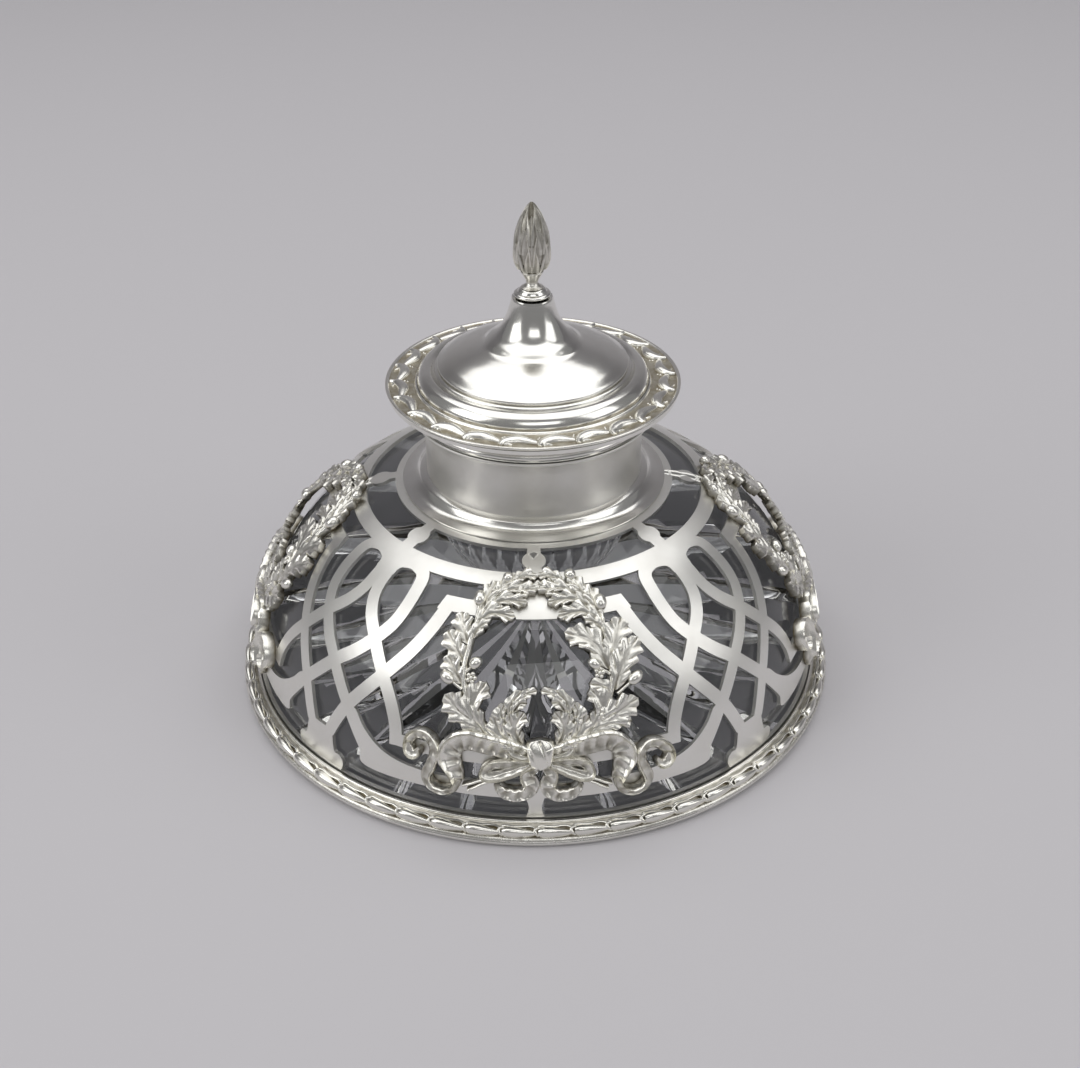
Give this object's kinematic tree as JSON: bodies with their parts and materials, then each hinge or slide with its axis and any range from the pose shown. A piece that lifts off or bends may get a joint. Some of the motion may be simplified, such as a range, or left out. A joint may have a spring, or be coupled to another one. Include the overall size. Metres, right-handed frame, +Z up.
{
  "type": "overlay glass inkwell",
  "caption": "Domed desk inkwell of clear star-cut glass under a pierced strapwork silver overlay with wreaths and bows, with a collar and a hinged lid with a bud finial.",
  "frame": {"origin": "on the table under the middle of the foot, at the bottom centre of the bounding box", "axes": "+Z up along the axis of the dome; -Y is the front wreath panel of the picture; +X to the right as seen from the front; the lid's hinge is at the back, at +Y"},
  "size_m": [0.133, 0.133, 0.1057],
  "materials": {
    "clear_glass": "clear cut glass, polished",
    "silver": "polished silver with light handling marks",
    "cast_silver": "cast silver, bright on the crests and tarnished yellow-brown in the recesses",
    "pin_steel": "drawn wire",
    "plaster": "plaster, matt"
  },
  "bodies": {
    "base": {"glass_body": "clear_glass", "neck_cement": "plaster", "pierced_overlay": "silver", "base_rim": "silver", "base_border": "cast_silver", "collar": "silver", "collar_foot": "silver", "collar_hinge": "silver", "hinge_pin": "pin_steel", "wreath_front": "cast_silver", "wreath_right": "cast_silver", "wreath_back": "cast_silver", "wreath_left": "cast_silver", "bow_front": "cast_silver", "bow_right": "cast_silver", "bow_back": "cast_silver", "bow_left": "cast_silver"},
    "lid": {"lid_shell": "silver", "lid_border": "cast_silver", "lid_bezel": "silver", "lid_hinge": "silver", "finial_washer": "silver", "finial_bud": "cast_silver", "finial_nut": "silver"}
  },
  "joints": [
    {"name": "lid_hinge_joint", "type": "hinge", "parent": "base", "child": "lid", "pos_m": [0, 0.028, 0.0646], "axis": [-1, 0, 0], "range_deg": [0, 110]}
  ]
}
